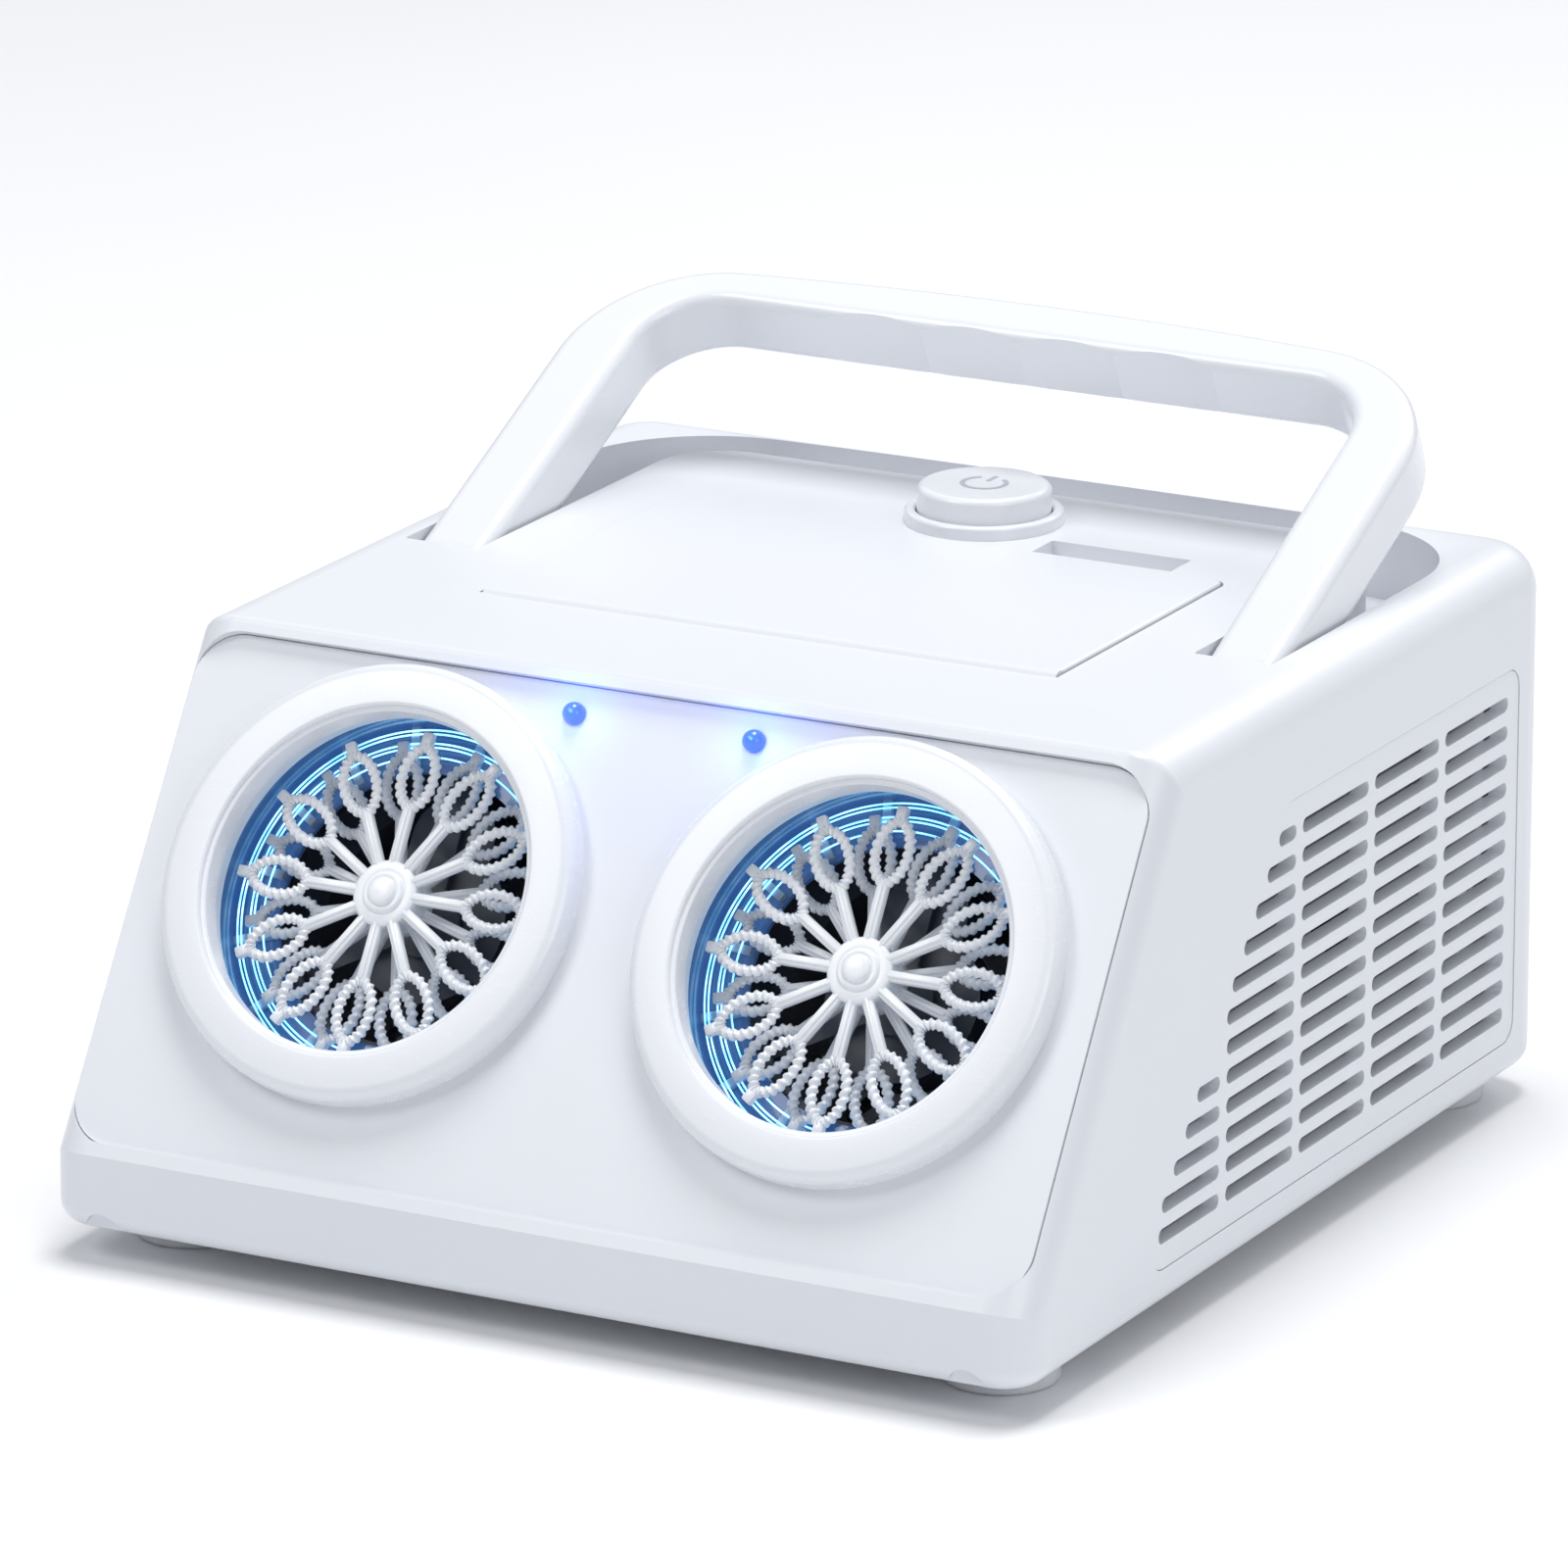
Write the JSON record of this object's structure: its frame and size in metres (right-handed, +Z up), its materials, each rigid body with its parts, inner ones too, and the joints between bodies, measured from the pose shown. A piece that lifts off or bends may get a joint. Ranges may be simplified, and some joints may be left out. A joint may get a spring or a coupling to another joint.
{
  "type": "bubble machine",
  "caption": "Tabletop bubble machine with round bubble wheels behind ring mouths on a sloped front, side grilles, a filling lid, a push button and a folding carry handle.",
  "frame": {"origin": "on the ground, under the middle of the housing", "axes": "+Z up, -Y to the front where the mouths are, +X to the right of someone facing the front"},
  "size_m": [0.235, 0.258, 0.1705],
  "materials": {
    "white_shell": "satin moulded ABS",
    "white_gloss": "polished moulded ABS",
    "ring_white": "polished moulded ABS",
    "duct_white": "moulded ABS",
    "wand_white": "moulded ABS, wet",
    "gear_white": "natural acetal",
    "fan_grey": "moulded, satin",
    "clear_white": "natural polypropylene",
    "foot_rubber": "soft white rubber",
    "soft_seal": "silicone",
    "steel": "turned",
    "brass": "cut",
    "motor_can": "drawn steel",
    "board": "solder mask",
    "black_plastic": "moulded",
    "cell": "printed sleeve, plain",
    "blue_light": "clear, lit blue from inside",
    "blue_lamp": "frosted lens, lit blue"
  },
  "bodies": {
    "housing": {"upper_shell": "white_shell", "base_tray": "white_shell", "front_fascia": "white_shell", "front_leds": "blue_lamp", "led_board": "board", "lid_pins": "steel", "solution_tank": "clear_white", "button_collar": "white_gloss", "button_spring": "steel", "control_board": "board", "handle_pins": "steel", "battery_box": "white_shell", "battery_cells": "cell", "battery_door": "white_shell", "feet": "foot_rubber", "housing_screws": "steel", "dc_jack": "black_plastic", "left_ring": "ring_white", "left_duct": "duct_white", "left_light_ring": "blue_light", "left_gear_cover": "duct_white", "left_gear_motor": "motor_can", "left_fan_motor": "motor_can", "left_grille": "white_shell", "right_ring": "ring_white", "right_duct": "duct_white", "right_light_ring": "blue_light", "right_gear_cover": "duct_white", "right_gear_motor": "motor_can", "right_fan_motor": "motor_can", "right_grille": "white_shell"},
    "lid": {"tank_lid": "white_shell", "lid_gasket": "soft_seal"},
    "button": {"power_button": "white_gloss"},
    "handle": {"carry_handle": "white_gloss"},
    "left_wheel": {"left_wheel_front": "wand_white", "left_wheel_rear": "wand_white", "left_wheel_shaft": "steel", "left_wheel_gear": "gear_white"},
    "left_pinion": {"left_pinion": "brass"},
    "left_fan": {"left_fan": "fan_grey"},
    "right_wheel": {"right_wheel_front": "wand_white", "right_wheel_rear": "wand_white", "right_wheel_shaft": "steel", "right_wheel_gear": "gear_white"},
    "right_pinion": {"right_pinion": "brass"},
    "right_fan": {"right_fan": "fan_grey"}
  },
  "joints": [
    {"name": "tank_lid_open", "type": "hinge", "parent": "housing", "child": "lid", "pos_m": [0, -0.0198, 0.1256], "axis": [1, 0, 0], "range_deg": [0, 95]},
    {"name": "power_button_press", "type": "slide", "parent": "housing", "child": "button", "axis": [0, 0, -1], "range_m": [0, 0.0012], "stiffness_N_per_m": 1500, "deforming": ["button_spring"]},
    {"name": "handle_swing", "type": "hinge", "parent": "housing", "child": "handle", "pos_m": [0, 0.0168, 0.119], "axis": [1, 0, 0], "range_deg": [-25.8, 66]},
    {"name": "left_wheel_spin", "type": "hinge", "parent": "housing", "child": "left_wheel", "pos_m": [-0.057, -0.09038, 0.0807], "axis": [0, -0.8425, 0.5388], "continuous": true},
    {"name": "left_pinion_spin", "type": "hinge", "parent": "housing", "child": "left_pinion", "pos_m": [-0.057, -0.08004, 0.09688], "axis": [0, -0.8425, 0.5388], "continuous": true},
    {"name": "left_fan_spin", "type": "hinge", "parent": "housing", "child": "left_fan", "pos_m": [-0.057, -0.09038, 0.0807], "axis": [0, -0.8425, 0.5388], "continuous": true},
    {"name": "right_wheel_spin", "type": "hinge", "parent": "housing", "child": "right_wheel", "pos_m": [0.057, -0.09038, 0.0807], "axis": [0, -0.8425, 0.5388], "continuous": true},
    {"name": "right_pinion_spin", "type": "hinge", "parent": "housing", "child": "right_pinion", "pos_m": [0.057, -0.08004, 0.09688], "axis": [0, -0.8425, 0.5388], "continuous": true},
    {"name": "right_fan_spin", "type": "hinge", "parent": "housing", "child": "right_fan", "pos_m": [0.057, -0.09038, 0.0807], "axis": [0, -0.8425, 0.5388], "continuous": true}
  ],
  "couplings": [
    {"joint": "left_pinion_spin", "follows": "left_wheel_spin", "ratio": -3},
    {"joint": "right_pinion_spin", "follows": "right_wheel_spin", "ratio": -3}
  ]
}
